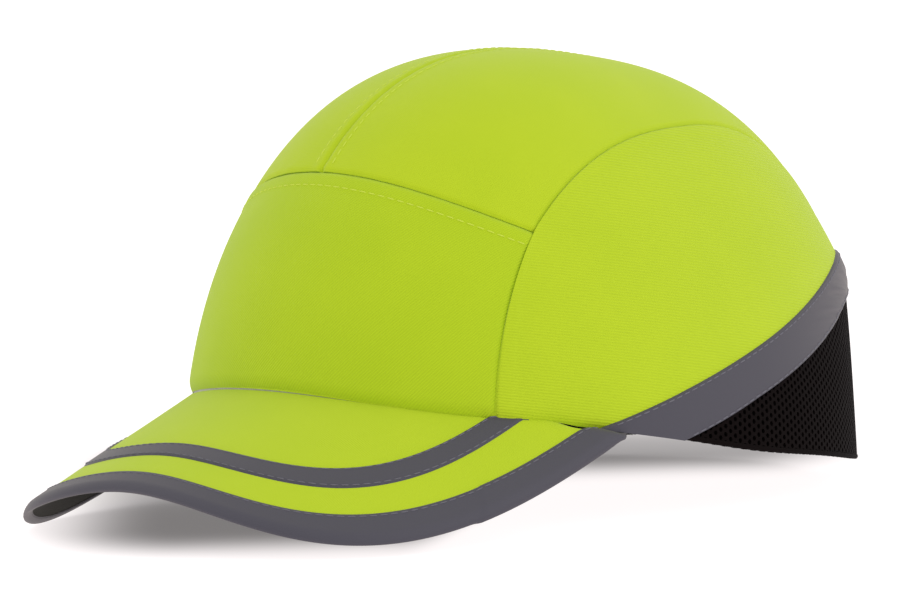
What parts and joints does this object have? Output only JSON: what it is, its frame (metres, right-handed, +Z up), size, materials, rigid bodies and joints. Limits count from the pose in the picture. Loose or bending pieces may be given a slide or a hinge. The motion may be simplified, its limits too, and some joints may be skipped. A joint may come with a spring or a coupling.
{
  "type": "bump cap",
  "caption": "Peaked hi-vis fabric bump cap with reflective tapes, mesh back, hook-and-loop size strap and a removable vented ABS shell with foam pads.",
  "frame": {"origin": "centre of the footprint box, on the floor that the brim's back corners and the hem beside the rear opening rest on", "axes": "+X to the wearer's left, +Y to the back of the cap, +Z up"},
  "size_m": [0.1778, 0.2668, 0.1263],
  "materials": {
    "hi_vis_twill": "fluorescent yellow diagonal twill, matt",
    "hi_vis_woven": "fluorescent yellow plain weave, slightly smooth",
    "hi_vis_tricot": "fluorescent yellow ribbed tricot knit",
    "spacer_mesh": "black three-layer spacer mesh with round holes",
    "reflective_tape": "grey retroreflective fabric tape, fine glass-bead grain",
    "black_tape": "black woven binding tape",
    "buckram": "stiffened open-weave buckram",
    "seam_tape": "black bias seam tape",
    "label_satin": "plain satin label",
    "terry_band": "black terry towelling",
    "brim_board": "black polyethylene brim board",
    "brim_underside": "dark green-black woven cover",
    "shell_plastic": "fine-textured ABS",
    "edge_rubber": "soft edge trim",
    "pad_foam": "closed-cell foam",
    "webbing": "black polyester webbing",
    "hook_tape": "nylon hook tape",
    "loop_tape": "brushed nylon loop tape"
  },
  "bodies": {
    "cap": {"front_panel": "hi_vis_twill", "crown_panel_left": "hi_vis_woven", "crown_panel_right": "hi_vis_woven", "side_panel_left": "hi_vis_tricot", "side_panel_right": "hi_vis_tricot", "rear_mesh": "spacer_mesh", "arch_tape": "reflective_tape", "opening_binding": "black_tape", "front_stiffener": "buckram", "front_seam_tape": "seam_tape", "centre_seam_tape": "seam_tape", "side_seam_tape_left": "seam_tape", "side_seam_tape_right": "seam_tape", "hem_tape_left": "black_tape", "hem_tape_right": "black_tape", "care_label": "label_satin", "sweatband": "terry_band", "brim_upper_cover": "hi_vis_woven", "brim_board": "brim_board", "brim_lower_cover": "brim_underside", "brim_stripe": "reflective_tape", "brim_binding": "reflective_tape", "crown_loop_patch": "loop_tape", "loop_patch": "loop_tape", "loop_strap": "webbing"},
    "insert": {"bump_shell": "shell_plastic", "shell_edge_trim": "edge_rubber", "front_pad": "pad_foam", "rear_pad": "pad_foam", "side_pad_left": "pad_foam", "side_pad_right": "pad_foam", "crown_pad": "pad_foam", "shell_hook_patch": "hook_tape"},
    "strap": {"strap_base": "webbing"},
    "tab": {"strap_tab": "webbing", "hook_patch": "hook_tape"}
  },
  "joints": [
    {"name": "insert_lift", "type": "slide", "parent": "cap", "child": "insert", "axis": [0, -0.1786, -0.9839], "range_m": [0, 0.12], "stiffness_N_per_m": 30, "springref_m": -0.08},
    {"name": "size_adjust", "type": "hinge", "parent": "cap", "child": "strap", "pos_m": [0, 0.05814, 0.02552], "axis": [0, 0.1786, 0.9839], "range_deg": [-12, 16]},
    {"name": "tab_peel", "type": "hinge", "parent": "strap", "child": "tab", "pos_m": [-0.01829, 0.12218, 0.0139], "axis": [0, 0.1786, 0.9839], "range_deg": [0, 120]}
  ]
}
